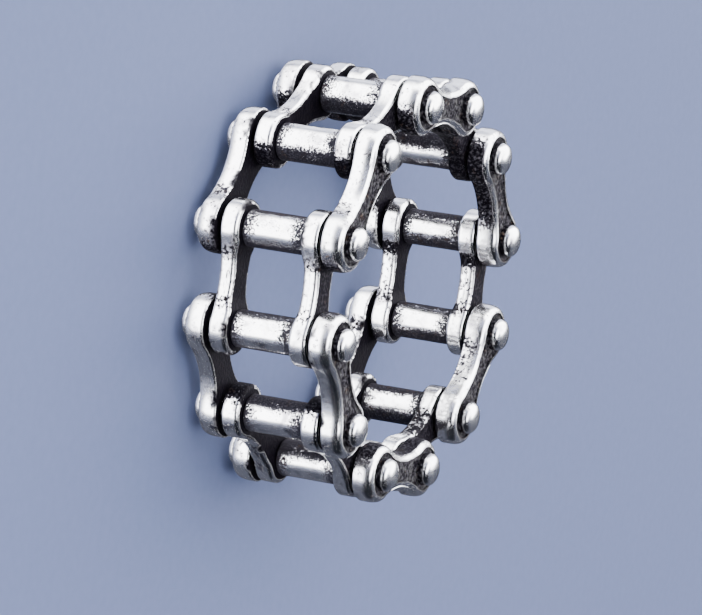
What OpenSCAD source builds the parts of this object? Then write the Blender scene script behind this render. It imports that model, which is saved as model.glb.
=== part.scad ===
// Finger ring in the form of a closed roller chain.
// It lies on its side: +Z is the finger axis, and Z = 0 is the plane that the lower pin heads rest on.
// All sizes are in millimetres.

/* [Ring] */
// Clear diameter of the finger hole
finger_d = 19.8; // [16:0.2:23]
// Number of pins round the ring, an even number
pin_count = 12; // [10:2:14]
// Visible gap between an inner plate and the outer plate over it
plate_gap = 0.22; // [0.1:0.01:0.6]
// Gap that fitted pieces keep
fit_gap = 0.03; // [0.02:0.01:0.06]

/* [Rollers] */
// Diameter of a roller
roller_d = 2.34; // [2.1:0.02:2.8]
// Length of a roller
roller_len = 4.1; // [3:0.1:7]
// Rounding of a roller's ends
roller_edge = 0.12; // [0.05:0.01:0.2]

/* [Inner plates] */
// Diameter of an inner plate's round ends
inner_end_d = 3.46; // [3.2:0.02:3.7]
// Thickness of an inner plate's round ends
inner_t = 1.25; // [1:0.02:1.8]
// Width of an inner plate's waist
inner_waist = 2.1; // [1.8:0.05:2.4]
// How far an inner plate's waist lies below its face on the roller side
inner_sink = 0.2; // [0.05:0.01:0.3]
// Rounding of an inner plate's edges
inner_edge = 0.28; // [0.1:0.01:0.35]

/* [Outer plates] */
// Diameter of an outer plate's round ends
outer_end_d = 3.72; // [3.5:0.02:4]
// Thickness of an outer plate's round ends
outer_t = 1.36; // [1.2:0.02:1.8]
// Width of an outer plate's waist
outer_waist = 2.2; // [2:0.05:2.5]
// Rounding of an outer plate's edge on the side that shows
outer_edge = 0.46; // [0.4:0.01:0.6]
// Rounding of an outer plate's edge on the hidden side
outer_back_edge = 0.14; // [0.1:0.01:0.3]
// Depth of the sunk panel in an outer plate's face
panel_depth = 0.14; // [0.08:0.01:0.25]

/* [Pins] */
// Diameter of a pin's shank
shank_d = 1.5; // [1:0.05:1.7]
// Diameter of a pin's head
head_d = 2.06; // [1.9:0.02:2.3]
// Height of a pin's head above the plate's rim
head_h = 0.77; // [0.5:0.01:0.9]
// Rounding of a pin's head
head_edge = 0.46; // [0.2:0.01:0.5]

/* [Hidden] */
$fn = 64;
// Extra length of a cutter past the face that it cuts
OVER = 1;
// A waist's wall meets its round ends this far inside their wall, so that the surfaces cross.
INSET = 0.05;
// How far a waist lies below the faces of its round ends
STEP = 0.06;
// Width of the flat rim between an outer plate's rounded edge and its sunk panel
RIM = 0.03;

pin_circle_r = (finger_d + outer_end_d) / 2;
pitch = 2 * pin_circle_r * sin(180 / pin_count);
chord_r = pin_circle_r * cos(180 / pin_count);
link_angle = 360 / pin_count;
link_count = pin_count / 2;

// Heights above the ring's middle plane
inner_z = roller_len / 2 + fit_gap;
outer_z = inner_z + inner_t + plate_gap;
rim_z = outer_z + outer_t;
head_z = rim_z - panel_depth + fit_gap;
tip_z = rim_z + head_h;

shank_r = shank_d / 2;
bore_r = shank_r + fit_gap;

SIDES = ["top", "bottom"];

// What a rounding of radius r takes off the corner of a square
module corner(r) {
    difference() {
        square(r + OVER);
        circle(r);
    }
}

// Half of a turned disc's profile, with its lower and upper edges rounded
module disc_profile(r, t, low_edge, high_edge) {
    difference() {
        square([r, t]);
        translate([r - high_edge, t - high_edge]) corner(high_edge);
        translate([r - low_edge, low_edge]) mirror([0, 1]) corner(low_edge);
    }
}

// Radius of the arc that runs from one round end to the other and leaves a waist of half width half_w
function waist_arc(end_r, half_w) = ((pitch / 2) ^ 2 + half_w ^ 2 - end_r ^ 2) / (2 * (end_r - half_w));

// Half length of a waist: where its arcs come nearest to the middles of the round ends
function waist_half_len(end_r, half_w) =
    let (arc = waist_arc(end_r, half_w)) pitch / 2 * arc / (arc + end_r);

// A waist between z and z + t, its edges rounded along both arcs
module waist(end_r, half_w, z, t, low_edge, high_edge) {
    arc = waist_arc(end_r, half_w);
    half_len = waist_half_len(end_r, half_w);
    translate([0, 0, z]) difference() {
        translate([-half_len, -end_r, 0]) cube([2 * half_len, 2 * end_r, t]);
        for (y = [-1, 1]) translate([0, y * (half_w + arc), 0]) rotate_extrude() {
            translate([0, -OVER]) square([arc, t + 2 * OVER]);
            translate([arc + high_edge, t - high_edge]) mirror([1, 0]) corner(high_edge);
            translate([arc + low_edge, low_edge]) rotate(180) corner(low_edge);
        }
    }
}

// The outline of a whole plate, for its sunk panel
module plate_outline(end_r, half_w) {
    arc = waist_arc(end_r - INSET, half_w);
    half_len = waist_half_len(end_r - INSET, half_w);
    for (x = [-1, 1]) translate([x * pitch / 2, 0]) circle(end_r);
    difference() {
        square([2 * half_len, 2 * end_r], center = true);
        for (y = [-1, 1]) translate([0, y * (half_w + arc)]) circle(arc);
    }
}

// A dog-bone plate from z = 0 to z = t, along X, with a bore at each end for the pins
module plate(end_r, half_w, t, sink, low_edge, high_edge) {
    difference() {
        union() {
            for (x = [-1, 1]) translate([x * pitch / 2, 0, 0])
                rotate_extrude() disc_profile(end_r, t, low_edge, high_edge);
            waist(end_r - INSET, half_w, sink, t - sink - STEP, low_edge, high_edge);
        }
        for (x = [-1, 1]) translate([x * pitch / 2, 0, -OVER]) cylinder(r = bore_r, h = t + 2 * OVER);
    }
}

// Puts a piece on one side of the ring's middle plane
module on_side(side) {
    translate([0, 0, tip_z]) mirror([0, 0, side == "top" ? 0 : 1]) children();
}

// Puts a plate between two pins: step counts pins from the first outer link
module at_link(step) {
    rotate([0, 0, link_angle * step - 90]) translate([0, chord_r, 0]) children();
}

// Puts a piece on a pin's axis, with z = 0 in the ring's middle plane
module at_pin(i) {
    rotate([0, 0, link_angle * (i - 0.5)]) translate([pin_circle_r, 0, tip_z]) children();
}

module outer_plate(side, i) {
    inset = outer_edge + RIM;
    color("gainsboro") on_side(side) at_link(2 * i - 2) translate([0, 0, outer_z]) difference() {
        plate(outer_end_d / 2, outer_waist / 2, outer_t, STEP, outer_back_edge, outer_edge);
        translate([0, 0, outer_t - panel_depth]) linear_extrude(panel_depth + OVER)
            plate_outline(outer_end_d / 2 - inset, outer_waist / 2 - inset);
    }
}

module inner_plate(side, i) {
    color("silver") on_side(side) at_link(2 * i - 1) translate([0, 0, inner_z])
        plate(inner_end_d / 2, inner_waist / 2, inner_t, inner_sink, inner_edge, inner_edge);
}

module roller(i) {
    color("lightgray") at_pin(i) translate([0, 0, -roller_len / 2]) rotate_extrude() difference() {
        disc_profile(roller_d / 2, roller_len, roller_edge, roller_edge);
        translate([0, -OVER]) square([bore_r, roller_len + 2 * OVER]);
    }
}

// Upper half of a pin's profile: the shank and the head above the plate's sunk panel
module pin_profile() {
    square([shank_r, head_z + head_h / 2]);
    translate([0, head_z]) difference() {
        square([head_d / 2, tip_z - head_z]);
        translate([head_d / 2 - head_edge, tip_z - head_z - head_edge]) corner(head_edge);
    }
}

module pin(i) {
    color("whitesmoke") at_pin(i) rotate_extrude() {
        pin_profile();
        mirror([0, 1]) pin_profile();
    }
}

for (side = SIDES, i = [1 : link_count]) {
    outer_plate(side, i);
    inner_plate(side, i);
}
for (i = [1 : pin_count]) {
    roller(i);
    pin(i);
}
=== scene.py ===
"""A finger ring in the form of a closed roller chain, in polished and blackened steel."""
import math

import bpy
import bmesh
from mathutils import Matrix, Vector


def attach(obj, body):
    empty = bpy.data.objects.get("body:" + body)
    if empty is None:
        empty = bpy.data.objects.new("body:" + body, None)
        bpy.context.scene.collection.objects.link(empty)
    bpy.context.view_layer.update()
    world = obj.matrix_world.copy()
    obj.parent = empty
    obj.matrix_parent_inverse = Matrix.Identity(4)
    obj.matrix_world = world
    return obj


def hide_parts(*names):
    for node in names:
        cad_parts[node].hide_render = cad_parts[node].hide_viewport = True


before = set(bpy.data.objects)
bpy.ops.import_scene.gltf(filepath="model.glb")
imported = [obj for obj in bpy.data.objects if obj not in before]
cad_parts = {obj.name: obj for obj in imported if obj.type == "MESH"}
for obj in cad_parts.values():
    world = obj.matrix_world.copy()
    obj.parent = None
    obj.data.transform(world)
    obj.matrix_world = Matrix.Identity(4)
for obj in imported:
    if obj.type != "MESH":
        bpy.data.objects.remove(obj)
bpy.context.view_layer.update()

# The ring, in metres
PIN_COUNT = 12
PIN_CIRCLE_R = 0.01176
MIDDLE_Z = 0.00568
LINK_ANGLE = 2 * math.pi / PIN_COUNT

# Each piece is shaped once in millimetres, turned and worn where it lies, and made metres last.
MM = 0.001
RING_R = PIN_CIRCLE_R / MM
RING_MIDDLE = MIDDLE_Z / MM
PITCH = 2 * RING_R * math.sin(LINK_ANGLE / 2)
CHORD_R = RING_R * math.cos(LINK_ANGLE / 2)
# Two heights that are nearer than this are the same, and two vertices that are nearer than MERGE become one
NEAR = 0.004
MERGE = 0.001

# Steps along a waist's arc, round a plate's end, round a bore, round a roller and round a pin
WAIST_STEPS = 16
END_STEPS = 60
BORE_STEPS = 40
ROLLER_STEPS = 64
PIN_STEPS = 48
# Edges that turn by less than this are shaded smooth
SMOOTH_ANGLE = math.radians(38)
# Sizes and depths of the unevenness that hand polishing leaves
WEAR = ((1.6, 0.024), (0.5, 0.005))
# Each roller and pin is turned further by this angle, so that no two are worn alike
OWN_TURN = 2.4

# Plates, in millimetres, with z = 0 at the face that is turned to the rollers
INNER_Z = 2.08
INNER_T = 1.25
INNER_END_R = 1.73
INNER_WAIST = 1.05
INNER_EDGE = 0.28
INNER_SINK = 0.2
OUTER_Z = 3.55
OUTER_T = 1.36
OUTER_END_R = 1.86
OUTER_WAIST = 1.1
OUTER_EDGE = 0.46
OUTER_BACK_EDGE = 0.14
# The rounded edge runs out into the wall over a large arc, which leans in by this angle in degrees
FLANK_R = 1.6
FLANK_LEAN = 18
OUTER_SINK = 0.06
RIM = 0.04
PANEL_DEPTH = 0.13
PANEL_SLOPE = 0.03
BORE_R = 0.78
# Half width of the strip along a plate's middle that the sweep leaves open
CORE = 0.12
# A waist begins to sink this far from the pins' axes, and is fully sunk after the fade
HOLLOW_LEAD = 0.7
HOLLOW_FADE = 1.2

# Rollers and pins, in millimetres
ROLLER_R = 1.17
ROLLER_HALF = 2.05
ROLLER_EDGE = 0.12
SHANK_R = 0.75
HEAD_R = 1.03
HEAD_FOOT = 4.81
HEAD_TIP = 5.68
HEAD_EDGE = 0.4
CROWN_R = 2.2
# How far the crown's small flat middle reaches round it, in degrees
HEAD_LAND_LEAN = 5


def limited(value):
    """The number itself, but no less than 0 and no more than 1."""
    return min(1, max(0, value))


def open_mesh(obj):
    """Opens the mesh in edit mode with nothing selected."""
    mesh = bmesh.from_edit_mesh(obj.data)
    for part in (*mesh.faces, *mesh.edges, *mesh.verts):
        part.select = False
    return mesh


def choose(obj, test):
    """Selects the vertices of the mesh in edit mode that pass a test of their place."""
    mesh = open_mesh(obj)
    for vertex in mesh.verts:
        vertex.select = test(vertex.co)
    mesh.select_flush_mode()
    bmesh.update_edit_mesh(obj.data)


def choose_open_edges(obj, height):
    """Selects the open edges of the mesh in edit mode that lie at a height."""
    mesh = open_mesh(obj)
    for edge in mesh.edges:
        if edge.is_boundary and all(abs(vertex.co.z - height) < NEAR for vertex in edge.verts):
            edge.select = True
            for vertex in edge.verts:
                vertex.select = True
    bmesh.update_edit_mesh(obj.data)


def start_profile(name, place):
    """Begins a piece with a single vertex at a place in the YZ plane, in edit mode."""
    bpy.ops.object.select_all(action="DESELECT")
    bpy.ops.mesh.primitive_plane_add(size=1, location=(0, 0, 0))
    piece = bpy.context.object
    piece.name = name
    bpy.ops.object.mode_set(mode="EDIT")
    bpy.ops.mesh.select_mode(type="VERT")
    bpy.ops.mesh.merge(type="CENTER")
    bpy.ops.transform.translate(value=(0, *place))
    return piece


def draw_line(step, cuts=1):
    """Extrudes the selected end of the profile by a step in the YZ plane, in equal cuts."""
    cut = (0, step[0] / cuts, step[1] / cuts)
    for _ in range(cuts):
        bpy.ops.mesh.extrude_region_move(TRANSFORM_OT_translate={"value": cut})


def draw_arc(center, degrees, steps):
    """Spins the selected end of the profile about a centre in the YZ plane, counter-clockwise seen from +X."""
    bpy.ops.mesh.spin(steps=steps, angle=-math.radians(degrees), center=(0, *center), axis=(1, 0, 0))


def sweep(center, degrees, steps):
    """Spins the selected profile about an upright axis, counter-clockwise seen from above."""
    bpy.ops.mesh.spin(steps=steps, angle=-math.radians(degrees), center=(*center, 0), axis=(0, 0, 1))


def waist_arc(end_r, waist):
    """Radius of the hollow arc that touches both round ends and leaves the waist's half width."""
    return ((PITCH / 2) ** 2 + waist ** 2 - end_r ** 2) / (2 * (end_r - waist))


def waist_lean(end_r, waist):
    """Angle that the hollow arc turns through from the waist's middle to a round end."""
    return math.asin(PITCH / 2 / (waist_arc(end_r, waist) + end_r))


def inset_of(place, end_r, waist):
    """How far a place lies inside a plate's outline."""
    x, y = abs(place.x), abs(place.y)
    arc = waist_arc(end_r, waist)
    if math.atan2(x, waist + arc - y) < waist_lean(end_r, waist):
        return math.hypot(x, waist + arc - y) - arc
    return end_r - math.hypot(x - PITCH / 2, y)


def note(piece, name, value):
    """Keeps a number for each vertex, which the finish reads to find rims, faces and ends."""
    layer = piece.data.attributes.get(name) or piece.data.attributes.new(name, "FLOAT", "POINT")
    layer.data.foreach_set("value", [value(vertex.co) for vertex in piece.data.vertices])


def finish_plate(piece, end_r, waist, floor_z):
    """Sweeps the profile round half of the plate, mirrors it, and closes both faces round the bores."""
    arc = waist_arc(end_r, waist)
    lean = math.degrees(waist_lean(end_r, waist))
    bpy.ops.mesh.select_all(action="SELECT")
    sweep((0, waist + arc), lean, WAIST_STEPS)
    sweep((PITCH / 2, 0), -(180 + 2 * lean), END_STEPS)
    sweep((0, -waist - arc), lean, WAIST_STEPS)
    bpy.ops.mesh.select_all(action="SELECT")
    bpy.ops.mesh.remove_doubles(threshold=MERGE)
    bpy.ops.object.mode_set(mode="OBJECT")
    mirror = piece.modifiers.new("other half", "MIRROR")
    mirror.merge_threshold = MERGE
    bpy.ops.object.modifier_apply(modifier=mirror.name)
    bpy.ops.object.mode_set(mode="EDIT")
    for x in (-PITCH / 2, PITCH / 2):
        bpy.ops.mesh.primitive_cylinder_add(vertices=BORE_STEPS, radius=BORE_R, depth=floor_z,
                                            end_fill_type="NOTHING", location=(x, 0, floor_z / 2))
    bpy.ops.mesh.select_mode(type="EDGE")
    for height in (0, floor_z):
        choose_open_edges(piece, height)
        bpy.ops.mesh.fill(use_beauty=True)
    bpy.ops.mesh.select_mode(type="VERT")
    bpy.ops.mesh.select_all(action="SELECT")
    bpy.ops.mesh.normals_make_consistent(inside=False)
    bpy.ops.object.mode_set(mode="OBJECT")
    note(piece, "inset", lambda place: inset_of(place, end_r, waist))
    note(piece, "rise", lambda place: place.z)


def hollow(piece, low, high, drop):
    """Moves the part of a waist between two heights by a drop that fades out towards the round ends."""
    for vertex in piece.data.vertices:
        if low < vertex.co.z < high:
            reach = limited((PITCH / 2 - HOLLOW_LEAD - abs(vertex.co.x)) / HOLLOW_FADE)
            vertex.co.z += drop * reach * reach * (3 - 2 * reach)


def make_outer_plate():
    """An outer plate: a rounded rim round a sunk panel, and a small rounding on the hidden side."""
    panel_z = OUTER_T - PANEL_DEPTH
    panel_foot = OUTER_WAIST - OUTER_EDGE - RIM - PANEL_SLOPE
    piece = start_profile("outer_plate", (CORE, panel_z))
    draw_line((panel_foot - CORE, 0), 4)
    draw_line((PANEL_SLOPE, PANEL_DEPTH), 2)
    draw_line((RIM, 0))
    reach, rise = math.cos(math.radians(FLANK_LEAN)), math.sin(math.radians(FLANK_LEAN))
    shoulder_r = (OUTER_EDGE - FLANK_R * (1 - reach)) / reach
    flank_z = OUTER_T - shoulder_r * (1 - rise) - FLANK_R * rise
    draw_arc((OUTER_WAIST - OUTER_EDGE, OUTER_T - shoulder_r), FLANK_LEAN - 90, 8)
    draw_arc((OUTER_WAIST - FLANK_R, flank_z), -FLANK_LEAN, 5)
    draw_line((0, OUTER_BACK_EDGE - flank_z), 4)
    draw_arc((OUTER_WAIST - OUTER_BACK_EDGE, OUTER_BACK_EDGE), -90, 4)
    draw_line((CORE + OUTER_BACK_EDGE - OUTER_WAIST, 0), 5)
    finish_plate(piece, OUTER_END_R, OUTER_WAIST, panel_z)
    hollow(piece, OUTER_T - PANEL_DEPTH - NEAR, OUTER_T + NEAR, -OUTER_SINK)
    return piece


def make_inner_plate():
    """An inner plate: both edges rounded, and the waist sunk on the side of the rollers."""
    piece = start_profile("inner_plate", (CORE, INNER_T))
    draw_line((INNER_WAIST - INNER_EDGE - CORE, 0), 6)
    draw_arc((INNER_WAIST - INNER_EDGE, INNER_T - INNER_EDGE), -90, 7)
    draw_line((0, 2 * INNER_EDGE - INNER_T), 6)
    draw_arc((INNER_WAIST - INNER_EDGE, INNER_EDGE), -90, 7)
    draw_line((CORE + INNER_EDGE - INNER_WAIST, 0), 6)
    finish_plate(piece, INNER_END_R, INNER_WAIST, INNER_T)
    hollow(piece, -NEAR, INNER_T / 2, INNER_SINK)
    return piece


def turn_profile(piece, steps):
    """Spins the whole profile once round the upright axis and closes the seam."""
    bpy.ops.mesh.select_all(action="SELECT")
    sweep((0, 0), 360, steps)
    bpy.ops.mesh.select_all(action="SELECT")
    bpy.ops.mesh.remove_doubles(threshold=MERGE)
    bpy.ops.mesh.normals_make_consistent(inside=False)
    bpy.ops.object.mode_set(mode="OBJECT")
    note(piece, "inset", lambda place: math.hypot(place.x, place.y))
    note(piece, "rise", lambda place: abs(place.z))


def make_roller():
    """A roller: a tube with rounded ends."""
    piece = start_profile("roller", (BORE_R, -ROLLER_HALF))
    draw_line((ROLLER_R - ROLLER_EDGE - BORE_R, 0), 2)
    draw_arc((ROLLER_R - ROLLER_EDGE, ROLLER_EDGE - ROLLER_HALF), 90, 4)
    draw_line((0, 2 * (ROLLER_HALF - ROLLER_EDGE)), 36)
    draw_arc((ROLLER_R - ROLLER_EDGE, ROLLER_HALF - ROLLER_EDGE), 90, 4)
    draw_line((ROLLER_EDGE + BORE_R - ROLLER_R, 0), 2)
    draw_line((0, -2 * ROLLER_HALF), 8)
    turn_profile(piece, ROLLER_STEPS)
    return piece


def draw_head(way):
    """Draws a head from the shank's end over the foot, the rounded shoulder and the crown to the middle."""
    lean = math.degrees(math.asin((HEAD_R - HEAD_EDGE) / (CROWN_R - HEAD_EDGE)))
    crown_z = HEAD_TIP - CROWN_R
    shoulder_z = crown_z + (CROWN_R - HEAD_EDGE) * math.cos(math.radians(lean))
    draw_line((HEAD_R - SHANK_R, 0), 2)
    draw_line((0, way * (shoulder_z - HEAD_FOOT)), 4)
    draw_arc((HEAD_R - HEAD_EDGE, way * shoulder_z), way * (90 - lean), 6)
    draw_arc((0, way * crown_z), way * (lean - HEAD_LAND_LEAN), 12)
    draw_line((-CROWN_R * math.sin(math.radians(HEAD_LAND_LEAN)), 0), 2)


def make_pin():
    """A pin: a shank and a domed head at each end, flat in the middle where it rests."""
    piece = start_profile("pin", (SHANK_R, 0))
    draw_line((0, HEAD_FOOT), 10)
    draw_head(1)
    choose(piece, lambda place: abs(place.z) < NEAR)
    draw_line((0, -HEAD_FOOT), 10)
    draw_head(-1)
    turn_profile(piece, PIN_STEPS)
    return piece


def wear(piece, size, depth):
    """Sinks the surface by a smooth cloud pattern of that size, never outwards, both in millimetres."""
    pattern = bpy.data.textures.new("wear", "CLOUDS")
    pattern.noise_scale = size
    pattern.noise_depth = 1
    sink = piece.modifiers.new("wear", "DISPLACE")
    sink.texture = pattern
    sink.texture_coords = "LOCAL"
    sink.mid_level = 1
    sink.strength = depth
    bpy.ops.object.modifier_apply(modifier=sink.name)


def settle(model, name, spot, finish):
    """Copies a model to its place in the ring, wears it there, and lets it stand for the solid of that name."""
    piece = model.copy()
    piece.data = model.data.copy()
    piece.name = piece.data.name = name
    bpy.context.scene.collection.objects.link(piece)
    bpy.ops.object.select_all(action="DESELECT")
    piece.select_set(True)
    bpy.context.view_layer.objects.active = piece
    piece.data.transform(spot)
    for size, depth in WEAR:
        wear(piece, size, depth)
    bpy.ops.object.shade_smooth_by_angle(angle=SMOOTH_ANGLE)
    piece.data.transform(Matrix.Diagonal((MM, MM, MM, 1)))
    piece.data.materials.clear()
    piece.data.materials.append(finish)
    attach(piece, "root")
    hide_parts(name.removesuffix("_steel"))
    return piece


# Arcs of the rollers that are darkened: the middle and the half width of each, in degrees from the side that
# faces away from the finger. A roller that isn't named has those at None, which are blackening that no
# polishing reached; a named roller's arcs are blackening together with painted shade and dark reflection.
BLACKENED_AND_SHADED_ARCS = {
    2: ((-155, 26), (87, 38)),
    3: ((-119, 20), (112, 33)),
    4: ((-100, 30), (142, 32)),
    5: ((-98, 36), (162, 20)),
    7: ((-115, 35),),
    8: ((-92, 38),),
    9: ((-80, 31), (66, 18)),
    10: ((102, 31), (-77, 33)),
    11: ((112, 40), (-88, 16)),
    12: ((131, 43), (-94, 10)),
    None: ((91, 15), (-91, 15)),
}
# The same for the walls round the plates' ends, by the link and the pin: blackening together with painted shade
# and dark reflection. FINGER_SIDE goes on along the waist.
FINGER_SIDE = ((180, 80),)
BLACKENED_AND_SHADED_ENDS = {
    (4, 5): FINGER_SIDE,
    (5, 5): FINGER_SIDE,
    (5, 6): FINGER_SIDE,
    (6, 6): FINGER_SIDE,
    (6, 7): ((-122, 42),),
    (7, 8): ((-97, 43),),
    (8, 9): ((-98, 43),),
    (9, 10): ((-103, 37),),
    (10, 10): ((98, 12),),
    (11, 11): ((108, 38),),
    (12, 12): FINGER_SIDE,
    (12, 1): FINGER_SIDE,
}
# Blackening on a waist's side that is turned to the finger, from 0 to 1, by the link. On links 12 and 1, at the
# bottom in the studio, it is painted shade as well.
BLACKENED_AND_SHADED_WAISTS = {1: 0.7, 3: 0.22, 4: 0.8, 5: 0.9, 6: 0.9, 12: 0.8, None: 0.34}
# Grime in the neck between a waist and a round end, by the link and the pin
GRIMY_NECKS = {(2, 3): 0.5, (3, 3): 0.45, (3, 4): 0.8, (7, 8): 0.4, (8, 9): 0.5, (9, 9): 0.55, (9, 10): 0.42}
# Width of an arc's soft border, in degrees
ARC_BORDER = 34
# In millimetres along a plate from its middle: where a waist's darkening ends and how softly, where a neck's
# darkening lies, how far it reaches to both sides and how softly it ends
WAIST_END = 1.9
WAIST_FADE = 0.9
NECK_PLACE = 1.5
NECK_REACH = 0.75
NECK_FADE = 0.5
# How far towards the finger from a plate's middle line the waist's darkening begins, and how softly
FINGER_SIDE_START = 0.6
FINGER_SIDE_FADE = 0.3


def blackening_and_shade_by_arcs(place, pin, arcs):
    """Tells how much blackening and painted shade a place round a pin gets, from 0 to 1, by the side of the pin
    that it lies on.
    """
    outward = LINK_ANGLE * (pin - 0.5)
    away_x = place.x - PIN_CIRCLE_R * math.cos(outward)
    away_y = place.y - PIN_CIRCLE_R * math.sin(outward)
    turn = math.degrees(outward - math.atan2(away_y, away_x))
    inside = max(half - abs(math.remainder(turn - middle, 360)) for middle, half in arcs)
    return limited(0.5 + inside / ARC_BORDER)


def roller_blackening_and_shade(pin):
    """Blackening, painted shade and dark reflection on the sides of a roller."""
    return lambda place: blackening_and_shade_by_arcs(place, pin, BLACKENED_AND_SHADED_ARCS.get(pin, BLACKENED_AND_SHADED_ARCS[None]))


def plate_blackening_and_shade(step):
    """Blackening and painted shade on a plate's wall: round its ends, in its necks, and on the waist's side
    towards the finger.
    """
    link = step or PIN_COUNT
    middle = LINK_ANGLE * step

    def blackening_and_shade(place):
        along = (-place.x * math.sin(middle) + place.y * math.cos(middle)) / MM
        inward = CHORD_R - math.hypot(place.x, place.y) / MM
        pin = link % PIN_COUNT + 1 if along > 0 else link
        waist = BLACKENED_AND_SHADED_WAISTS.get(link, BLACKENED_AND_SHADED_WAISTS[None])
        waist *= limited((WAIST_END - abs(along)) / WAIST_FADE)
        waist *= limited((inward - FINGER_SIDE_START) / FINGER_SIDE_FADE)
        neck = GRIMY_NECKS.get((link, pin), 0)
        neck *= limited((NECK_REACH - abs(abs(along) - NECK_PLACE)) / NECK_FADE)
        arcs = BLACKENED_AND_SHADED_ENDS.get((link, pin))
        if arcs and (abs(along) > PITCH / 2 or arcs is FINGER_SIDE):
            return max(waist, neck, blackening_and_shade_by_arcs(place, pin, arcs))
        return max(waist, neck)
    return blackening_and_shade


def at_link(step, side, height):
    """Place of a plate between two pins, on one side of the ring's middle plane."""
    turn = Matrix.Rotation(LINK_ANGLE * step - math.pi / 2, 4, "Z")
    flip = Matrix.Rotation(math.pi if side == "bottom" else 0, 4, "X")
    lift = Matrix.Translation((0, CHORD_R, RING_MIDDLE)) @ flip @ Matrix.Translation((0, 0, height))
    return turn @ lift


def at_pin(number):
    """Place of a roller or a pin."""
    turn = Matrix.Rotation(LINK_ANGLE * (number - 0.5), 4, "Z")
    own_turn = Matrix.Rotation(number * OWN_TURN, 4, "Z")
    return turn @ Matrix.Translation((RING_R, 0, RING_MIDDLE)) @ own_turn


class Nodes:
    """Builds a tree of nodes."""

    def __init__(self, tree):
        self.tree = tree

    def node(self, kind, **settings):
        new = self.tree.nodes.new(kind)
        for key, value in settings.items():
            setattr(new, key, value)
        return new

    def feed(self, socket, value):
        if isinstance(value, bpy.types.NodeSocket):
            self.tree.links.new(value, socket)
        else:
            socket.default_value = value

    def math(self, operation, first, second=0.0):
        new = self.node("ShaderNodeMath", operation=operation)
        self.feed(new.inputs[0], first)
        self.feed(new.inputs[1], second)
        return new.outputs[0]

    def add(self, first, second):
        return self.math("ADD", first, second)

    def times(self, first, second):
        return self.math("MULTIPLY", first, second)

    def most(self, *values):
        result = values[0]
        for value in values[1:]:
            result = self.math("MAXIMUM", result, value)
        return result

    def rising(self, value, low, high):
        """Goes smoothly from 0 to 1 as the value goes from low to high."""
        new = self.node("ShaderNodeMapRange", interpolation_type="SMOOTHSTEP")
        for socket, number in zip(new.inputs, (value, low, high, 0.0, 1.0)):
            self.feed(socket, number)
        return new.outputs[0]

    def rest(self, value):
        """What a value leaves of 1."""
        return self.math("SUBTRACT", 1.0, value)

    def falling(self, value, low, high):
        return self.rest(self.rising(value, low, high))

    def between(self, amount, first, second):
        """Goes from the first number to the second as the amount goes from 0 to 1."""
        new = self.node("ShaderNodeMix", data_type="FLOAT")
        self.feed(new.inputs[0], amount)
        self.feed(new.inputs[2], first)
        self.feed(new.inputs[3], second)
        return new.outputs[0]

    def along(self, way, axis):
        """How far a direction goes along an axis."""
        new = self.node("ShaderNodeVectorMath", operation="DOT_PRODUCT")
        self.feed(new.inputs[0], way)
        new.inputs[1].default_value = axis
        return new.outputs["Value"]

    def colours(self, amount, first, second):
        new = self.node("ShaderNodeMix", data_type="RGBA")
        self.feed(new.inputs["Factor"], amount)
        self.feed(new.inputs["A"], first)
        self.feed(new.inputs["B"], second)
        return new.outputs["Result"]


# Colours of polished steel, of tarnish, of blackening and the rollers' thinner one, which is made lighter as
# painted sheen, and of the light specks, which are dust and painted sheen, and the brown specks in the
# blackening
POLISHED = (0.92, 0.92, 0.93, 1)
TARNISHED = (0.22, 0.205, 0.24, 1)
BLACKENED = (0.005, 0.004, 0.007, 1)
ROLLER_BLACKENED_AND_SHEEN = (0.045, 0.04, 0.05, 1)
DUST_AND_SHEEN = (0.15, 0.14, 0.168, 1)
BROWN = (0.175, 0.12, 0.095, 1)
SPECULAR_LEVEL = 0.03
# Roughness of the polished steel, what the polish marks and the tarnish add to it, and what the blackening adds
PLATE_ROUGHNESS = 0.17
ROLLER_ROUGHNESS = 0.16
MARK_ROUGHNESS = 0.08
TARNISH_ROUGHNESS = 0.05
BLACK_ROUGHNESS = 0.3

# How fine the patterns are, as the number of their spots side by side in a metre
GRAIN = 5200
ROLLER_GRAIN = 9500
TARNISH_SPOTS = 900
BROWN_SPOTS = 1500
POLISH_MARKS = 2600
PITS = 6500
PIT_CLUSTERS = 900
PATCHES = 650
BLOTCHES = 1300
WORN_SPOTS = 3400
ROLLER_BLOTCHES = 1100
FLOOR_SPOTS = 1500

# Where the blackening and painted shade begin and where they are full, as a share of what the arcs, the grain
# and the blotches add up to
BLACKENING_AND_SHADE_BORDER = (0.46, 0.56)
BLACKENING_AND_SHADE_DULL = (0.1, 0.5)
# Heights on the pieces, in millimetres, between which a part of the finish comes in or fades out
OUTER_WALL_TOP = (1.0, 1.2)
CREEP_TOP = (0.1, 0.42)
PATCH_TOP = (0.2, 0.7)
# Towards a roller's ends it darkens with pits and painted shade where it meets the plates, and its rim at each
# end is painted shade
ROLLER_PITS_AND_SHADE = (0.6, 2.0)
ROLLER_RIM_SHADE = (1.93, 2.0)
HEAD_DARK = (5.08, 5.22)
HEAD_DULL = (5.05, 5.3)
# Where the blackening of a plate's faces comes in: in millimetres inwards from the rounded edge, and as shares
# of the thickness. On an outer plate's hidden side it comes in nearer to the outline.
FACE_BORDER = (-0.05, 0.03)
UPPER_FACE = (0.6, 0.7)
LOWER_FACE = (0.2, 0.3)
OUTER_LOW_EDGE = 0.05
LOW_BORDER = 0.08
# How black an outer plate's panel is where it is worn
WORN_BLACK = 0.84
# How many light specks the blackening has on the outer plates, on the inner plates, and on the faces towards
# the rollers. The fewer specks on the inner plates and on the faces towards the rollers are painted shade
# between the parts.
OUTER_SPECKS = 1.0
INNER_SPECKS_AND_SHADE = 0.4
HIDDEN_SPECKS_AND_SHADE = 0.06


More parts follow.
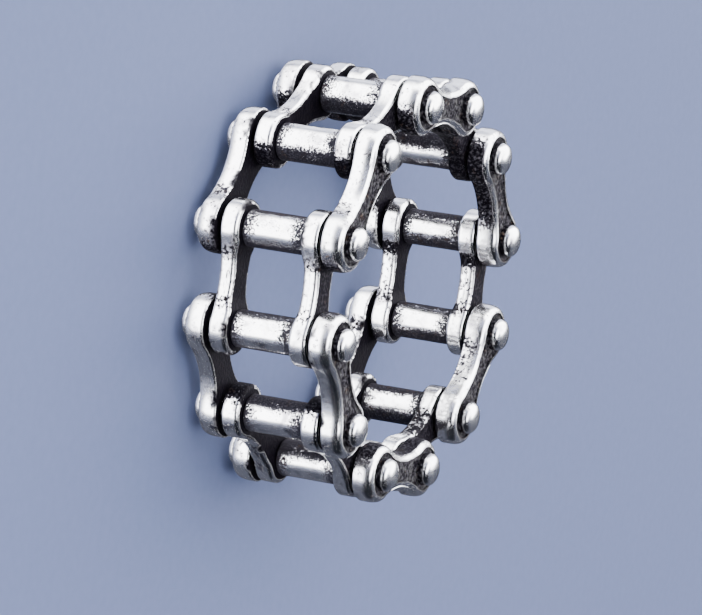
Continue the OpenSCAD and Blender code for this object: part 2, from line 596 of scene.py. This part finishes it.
class Finish(Nodes):
    """A finish built from nodes. It reads the piece's own place and the numbers kept on its vertices."""

    def __init__(self, name):
        self.material = bpy.data.materials.new(name)
        self.material.use_nodes = True
        super().__init__(self.material.node_tree)
        self.shader = self.tree.nodes["Principled BSDF"]
        self.place = self.node("ShaderNodeTexCoord").outputs["Object"]

    def noise(self, scale, detail=2.0, roughness=0.5):
        new = self.node("ShaderNodeTexNoise")
        self.feed(new.inputs["Vector"], self.place)
        new.inputs["Scale"].default_value = scale
        new.inputs["Detail"].default_value = detail
        new.inputs["Roughness"].default_value = roughness
        return new.outputs["Fac"]

    def kept(self, name):
        return self.node("ShaderNodeAttribute", attribute_name=name).outputs["Fac"]

    def ragged(self, pattern, amount):
        """A pattern about zero, which moves a border to both sides by up to about half of the amount."""
        return self.times(self.math("SUBTRACT", pattern, 0.5), amount)

    def pits(self, where):
        """Small dark pits that gather in clusters, as strong as where says."""
        clusters = self.rising(self.noise(PIT_CLUSTERS, 1), 0.6, 0.7)
        return self.times(self.rising(self.noise(PITS, 2, 0.6), 0.6, 0.66), self.times(clusters, where))

    def relief(self, grain, rough, rough_height, least_height, pits, pit_depth):
        """A height in millimetres: the grain, which is higher where the steel is rough, and sunk pits."""
        height = self.add(self.times(rough, rough_height), least_height)
        return self.add(self.times(grain, height), self.times(pits, -pit_depth))

    def steel(self, dark, dull, speck_amount, polish, grain, relief, blackened=BLACKENED):
        """Steel that is blackened where dark is 1 and tarnished where dull is, with light specks of dust and
        painted sheen as the speck amount says.
        """
        tint = self.most(self.rising(self.noise(TARNISH_SPOTS, 3, 0.6), 0.47, 0.8), self.times(dull, 0.8))
        bright = self.colours(tint, POLISHED, TARNISHED)
        speck = self.colours(self.rising(self.noise(BROWN_SPOTS, 2), 0.56, 0.7), DUST_AND_SHEEN, BROWN)
        black = self.colours(self.times(self.rising(grain, 0.46, 0.72), speck_amount), blackened, speck)
        self.feed(self.shader.inputs["Base Color"], self.colours(dark, bright, black))
        self.feed(self.shader.inputs["Metallic"], self.rest(dark))
        self.shader.inputs["Specular IOR Level"].default_value = SPECULAR_LEVEL
        marks = self.times(self.noise(POLISH_MARKS, 3), MARK_ROUGHNESS)
        rough = self.add(polish, self.add(marks, self.times(tint, TARNISH_ROUGHNESS)))
        self.feed(self.shader.inputs["Roughness"], self.add(rough, self.times(dark, BLACK_ROUGHNESS)))
        bump = self.node("ShaderNodeBump")
        bump.inputs["Strength"].default_value = 1.0
        bump.inputs["Distance"].default_value = MM
        self.feed(bump.inputs["Height"], relief)
        self.feed(self.shader.inputs["Normal"], bump.outputs["Normal"])
        return self.material


def plate_finish(name, edge, thickness, outer):
    """Polished round the edge, blackened on the faces, with ragged borders and a few clusters of pits."""
    finish = Finish(name)
    inset, rise = finish.kept("inset"), finish.kept("rise")
    grain = finish.noise(GRAIN, 3, 0.62)
    border = finish.add(inset, finish.ragged(grain, 0.24))
    high = finish.times(finish.rising(border, *(edge + offset for offset in FACE_BORDER)),
                        finish.rising(rise, *(thickness * share for share in UPPER_FACE)))
    low_edge = OUTER_LOW_EDGE if outer else edge + FACE_BORDER[0]
    low = finish.times(finish.rising(border, low_edge, low_edge + LOW_BORDER),
                       finish.falling(rise, *(thickness * share for share in LOWER_FACE)))
    patches = finish.rising(finish.noise(PATCHES, 2), 0.55, 0.66)
    creeping = finish.times(finish.falling(finish.add(rise, finish.ragged(grain, 0.9)), *CREEP_TOP), patches)
    pits = finish.pits(1.0)
    # The kept numbers darken the walls with blackening, and with painted shade and dark reflection where the
    # tables above give it.
    kept = finish.kept("blackening_and_shade")
    if outer:
        kept = finish.times(kept, finish.falling(rise, *OUTER_WALL_TOP))
    blotches = finish.ragged(finish.noise(BLOTCHES, 2), 0.9)
    blackening_and_shade_sum = finish.add(kept, finish.add(finish.ragged(grain, 2.2), blotches))
    blackening_and_shade = finish.rising(blackening_and_shade_sum, *BLACKENING_AND_SHADE_BORDER)
    worn = finish.rising(finish.noise(WORN_SPOTS, 4, 0.65), 0.47, 0.68)
    face = finish.times(high, finish.between(worn, 1.0, WORN_BLACK)) if outer else high
    dark = finish.most(face, low, creeping, blackening_and_shade, pits)
    dull = finish.most(finish.rising(blackening_and_shade_sum, *BLACKENING_AND_SHADE_DULL),
                       finish.times(patches, finish.falling(rise, *PATCH_TOP)))
    # Fewer light specks on the inner plates and on the faces towards the rollers: painted shade between the
    # parts.
    speck_amount = finish.between(low, OUTER_SPECKS if outer else INNER_SPECKS_AND_SHADE, HIDDEN_SPECKS_AND_SHADE)
    relief = finish.relief(grain, dark, 0.05, 0.0012, pits, 0.006)
    return finish.steel(dark, dull, speck_amount, PLATE_ROUGHNESS, grain, relief)


def roller_finish():
    """Bright in the middle, with a ragged crowd of dark pits and painted shade towards both ends, where the
    roller meets the plates.
    """
    finish = Finish("roller steel")
    rise = finish.kept("rise")
    grain = finish.noise(ROLLER_GRAIN, 3, 0.62)
    blotches = finish.noise(ROLLER_BLOTCHES, 2)
    # The darkening towards both ends is pits and painted shade; the dark rim at each end is painted shade.
    reach = finish.rising(finish.add(rise, finish.ragged(blotches, 1.1)), *ROLLER_PITS_AND_SHADE)
    ends = finish.add(finish.times(reach, 0.72), finish.ragged(grain, 2.3))
    # The sides' arcs are blackening, with painted shade and dark reflection.
    sides = finish.add(finish.kept("blackening_and_shade"),
                       finish.add(finish.ragged(grain, 2.6), finish.ragged(blotches, 0.9)))
    pits = finish.rising(ends, 0.46, 0.54)
    blackening_and_shade = finish.rising(sides, *BLACKENING_AND_SHADE_BORDER)
    dark = finish.most(pits, blackening_and_shade, finish.rising(rise, *ROLLER_RIM_SHADE))
    dull = finish.most(finish.rising(ends, 0.25, 0.5), finish.rising(sides, *BLACKENING_AND_SHADE_DULL))
    relief = finish.relief(grain, blackening_and_shade, 0.03, 0.0012, pits, 0.012)
    return finish.steel(dark, dull, 1.0, ROLLER_ROUGHNESS, grain, relief, ROLLER_BLACKENED_AND_SHEEN)


def pin_finish():
    """Bright heads, dark round their foot."""
    finish = Finish("pin steel")
    rise = finish.kept("rise")
    grain = finish.noise(GRAIN, 3, 0.62)
    foot = finish.falling(finish.add(rise, finish.ragged(grain, 0.3)), *HEAD_DARK)
    pits = finish.pits(0.7)
    dark = finish.most(foot, pits)
    relief = finish.relief(grain, dark, 0.03, 0.004, pits, 0.02)
    return finish.steel(dark, finish.falling(rise, *HEAD_DULL), 1.0, PLATE_ROUGHNESS, grain, relief)


# The studio that the steel mirrors. In it the ring stands on one link: UP is away from that link, AHEAD is
# level and towards the camera's side, and SIDE is the finger axis, to the right in the picture.
STUDIO_SIDE = (0, 0, 1)
STUDIO_UP = (-0.866, -0.5, 0)
STUDIO_AHEAD = (0.5, -0.866, 0)
# How bright its parts are
BOX_LIGHT = 11.0
HAZE_LIGHT = 1.2
BACK_LIGHT = 2.6
SEAM_LIGHT = 0.25
TOP_LIGHT = 0.9
TABLE_LIGHT = 1.15
UNDER_LIGHT = 0.15
DARK_LIGHT = 0.022
BOUNCED_LIGHT = 0.15
# Dim parts of the studio look bluer than bright ones: the two brightnesses and the two colours
BLUE_RANGE = (1.0, 4.5)
DIM_COLOUR = (0.79, 0.84, 1.12, 1)
BRIGHT_COLOUR = (0.98, 0.98, 1.0, 1)
# Where the parts' borders begin and end along one of the three ways, each from -1 to 1
LEFT_BOX = (-0.34, -0.06)
RIGHT_BOX = (0.62, 0.8)
REAR_BOX = (-0.25, 0.1)
TOP_LAMP = (0.6, 0.88)
REAR_HAZE = (-0.68, -0.25)
REAR_HAZE_SIDE = (-0.1, 0.2)
LEFT_HAZE = (-0.9, -0.5)
BACK_WALL = (-0.72, -0.7)
BACK_LEFT = (0.1, 0.3)
SEAM_FRONT = (-0.7, -0.68)
SEAM_BACK = (-0.74, -0.72)
DARK_TABLE = (-0.2, 0.3)
DARK_TABLE_SIDE = (-0.38, -0.14)
DARK_BACK = (-0.74, -0.66)
DARK_BACK_SIDE = (-0.05, 0.2)
UNDER_TABLE = (-0.5, 0.05)
LOW_BOX = (-0.5, -0.2)
LOW_BOX_SIDE = (0.1, 0.35)
LOW_BOX_DROP = 0.36
HORIZON = (-0.03, 0.03)


def studio_sky(studio, side, up, ahead):
    """What the steel mirrors from above: boxes with their haze, the back wall, and a gap round the camera."""
    lit = studio.most(studio.falling(side, *LEFT_BOX), studio.rising(side, *RIGHT_BOX),
                      studio.falling(ahead, *REAR_BOX))
    gap = studio.between(studio.rising(up, *TOP_LAMP), DARK_LIGHT, TOP_LIGHT)
    haze = studio.most(studio.times(studio.falling(ahead, *REAR_HAZE), studio.falling(side, *REAR_HAZE_SIDE)),
                       studio.falling(side, *LEFT_HAZE))
    front = studio.between(lit, gap, studio.between(haze, BOX_LIGHT, HAZE_LIGHT))
    left = studio.falling(side, *BACK_LEFT)
    back = studio.between(left, BOX_LIGHT, BACK_LIGHT)
    sky = studio.between(studio.falling(ahead, *BACK_WALL), front, back)
    line = studio.times(studio.falling(ahead, *SEAM_FRONT), studio.rising(ahead, *SEAM_BACK))
    return studio.between(studio.times(left, line), sky, SEAM_LIGHT)


def studio_table(studio, side, up, ahead):
    """What the steel mirrors from below: a dim table that is dark in front and at the left of the back."""
    unlit = studio.most(
        studio.times(studio.rising(side, *DARK_TABLE_SIDE), studio.rising(ahead, *DARK_TABLE)),
        studio.times(studio.falling(side, *DARK_BACK_SIDE), studio.falling(ahead, *DARK_BACK)))
    table = studio.between(studio.falling(up, *UNDER_TABLE), TABLE_LIGHT, UNDER_LIGHT)
    return studio.between(unlit, table, DARK_LIGHT)


def light_studio():
    """Soft boxes on both sides and overhead, a dark gap round the camera, and a dim table below."""
    world = bpy.data.worlds.new("studio")
    bpy.context.scene.world = world
    world.use_nodes = True
    world.cycles.sampling_method = "NONE"
    world.cycles_visibility.diffuse = False
    studio = Nodes(world.node_tree)
    way = studio.node("ShaderNodeTexCoord").outputs["Generated"]
    side, up, ahead = (studio.along(way, axis) for axis in (STUDIO_SIDE, STUDIO_UP, STUDIO_AHEAD))
    low_box = studio.times(studio.rising(side, *LOW_BOX_SIDE), studio.falling(ahead, *LOW_BOX))
    above = studio.rising(studio.add(up, studio.times(low_box, LOW_BOX_DROP)), *HORIZON)
    mirrored = studio.between(above, studio_table(studio, side, up, ahead), studio_sky(studio, side, up, ahead))
    lamp = world.node_tree.nodes["Background"]
    studio.feed(lamp.inputs["Color"],
                studio.colours(studio.rising(mirrored, *BLUE_RANGE), DIM_COLOUR, BRIGHT_COLOUR))
    bounced = studio.node("ShaderNodeLightPath").outputs["Diffuse Depth"]
    studio.feed(lamp.inputs["Strength"],
                studio.between(studio.rising(bounced, 0.4, 0.6), mirrored, BOUNCED_LIGHT))


# The floor: its size in metres and its two colours
FLOOR_SIZE = 3
FLOOR_DARK = (0.19, 0.24, 0.46, 1)
FLOOR_LIGHT = (0.22, 0.27, 0.51, 1)
FLOOR_ROUGHNESS = 0.7


def make_floor():
    """A plain pale floor. The ring's steel doesn't mirror it."""
    bpy.ops.object.select_all(action="DESELECT")
    bpy.ops.mesh.primitive_plane_add(size=FLOOR_SIZE, location=(0, 0, 0))
    floor = bpy.context.object
    floor.name = "floor"
    floor.visible_glossy = False
    paint = Finish("floor paint")
    paint.feed(paint.shader.inputs["Base Color"],
               paint.colours(paint.noise(FLOOR_SPOTS, 3), FLOOR_DARK, FLOOR_LIGHT))
    paint.shader.inputs["Roughness"].default_value = FLOOR_ROUGHNESS
    floor.data.materials.append(paint.material)


def add_light(name, place, size, power):
    """A soft area light that is turned to the ring and doesn't show in the steel."""
    data = bpy.data.lights.new(name, "AREA")
    data.shape = "DISK"
    data.size = size
    data.energy = power
    lamp = bpy.data.objects.new(name, data)
    bpy.context.scene.collection.objects.link(lamp)
    lamp.location = place
    lamp.rotation_euler = (-Vector(place)).to_track_quat("-Z", "Y").to_euler()
    lamp.visible_glossy = False


# The camera: low on the ring's side and turned, so that the finger axis runs across the picture
CAMERA_ROUND = math.radians(264.734)
CAMERA_HEIGHT = math.radians(25.194)
CAMERA_TURN = math.radians(99.203)
CAMERA_REACH = 0.26597
CAMERA_AIM = Vector((0.001771, -0.000194, MIDDLE_Z - 0.000063))
SENSOR_WIDTH = 36
LENS_LENGTH = 218.7
NEAREST = 0.01


def place_camera():
    """Puts the camera at the photograph's angle to the ring."""
    camera = bpy.data.cameras.new("camera")
    camera.sensor_width = SENSOR_WIDTH
    camera.lens = LENS_LENGTH
    camera.clip_start = NEAREST
    stand = bpy.data.objects.new("camera", camera)
    bpy.context.scene.collection.objects.link(stand)
    back = Vector((math.cos(CAMERA_HEIGHT) * math.cos(CAMERA_ROUND),
                   math.cos(CAMERA_HEIGHT) * math.sin(CAMERA_ROUND), math.sin(CAMERA_HEIGHT)))
    level = Vector((0, 0, 1)).cross(back).normalized()
    upright = back.cross(level)
    right = level * math.cos(CAMERA_TURN) + upright * math.sin(CAMERA_TURN)
    up = upright * math.cos(CAMERA_TURN) - level * math.sin(CAMERA_TURN)
    axes = Matrix((right, up, back)).transposed().to_4x4()
    stand.matrix_world = Matrix.Translation(CAMERA_AIM + back * CAMERA_REACH) @ axes
    bpy.context.scene.camera = stand


outer_steel = plate_finish("outer plate steel", OUTER_EDGE, OUTER_T, True)
inner_steel = plate_finish("inner plate steel", INNER_EDGE, INNER_T, False)
roller_steel = roller_finish()
pin_steel = pin_finish()

outer_model = make_outer_plate()
inner_model = make_inner_plate()
roller_model = make_roller()
pin_model = make_pin()

for side in ("top", "bottom"):
    for number in range(1, PIN_COUNT // 2 + 1):
        step = 2 * number - 2
        outer = settle(outer_model, f"outer_plate_{side}_{number}_steel", at_link(step, side, OUTER_Z),
                       outer_steel)
        inner = settle(inner_model, f"inner_plate_{side}_{number}_steel", at_link(step + 1, side, INNER_Z),
                       inner_steel)
        note(outer, "blackening_and_shade", plate_blackening_and_shade(step))
        note(inner, "blackening_and_shade", plate_blackening_and_shade(step + 1))
for number in range(1, PIN_COUNT + 1):
    roller = settle(roller_model, f"roller_{number}_steel", at_pin(number), roller_steel)
    note(roller, "blackening_and_shade", roller_blackening_and_shade(number))
    settle(pin_model, f"pin_{number}_steel", at_pin(number), pin_steel)
for model in (outer_model, inner_model, roller_model, pin_model):
    bpy.data.objects.remove(model)

make_floor()
light_studio()
add_light("key light", (-0.03, -0.16, 0.18), size=0.4, power=0.8)
add_light("fill light", (-0.1, 0.1, 0.3), size=0.7, power=1.4)
place_camera()
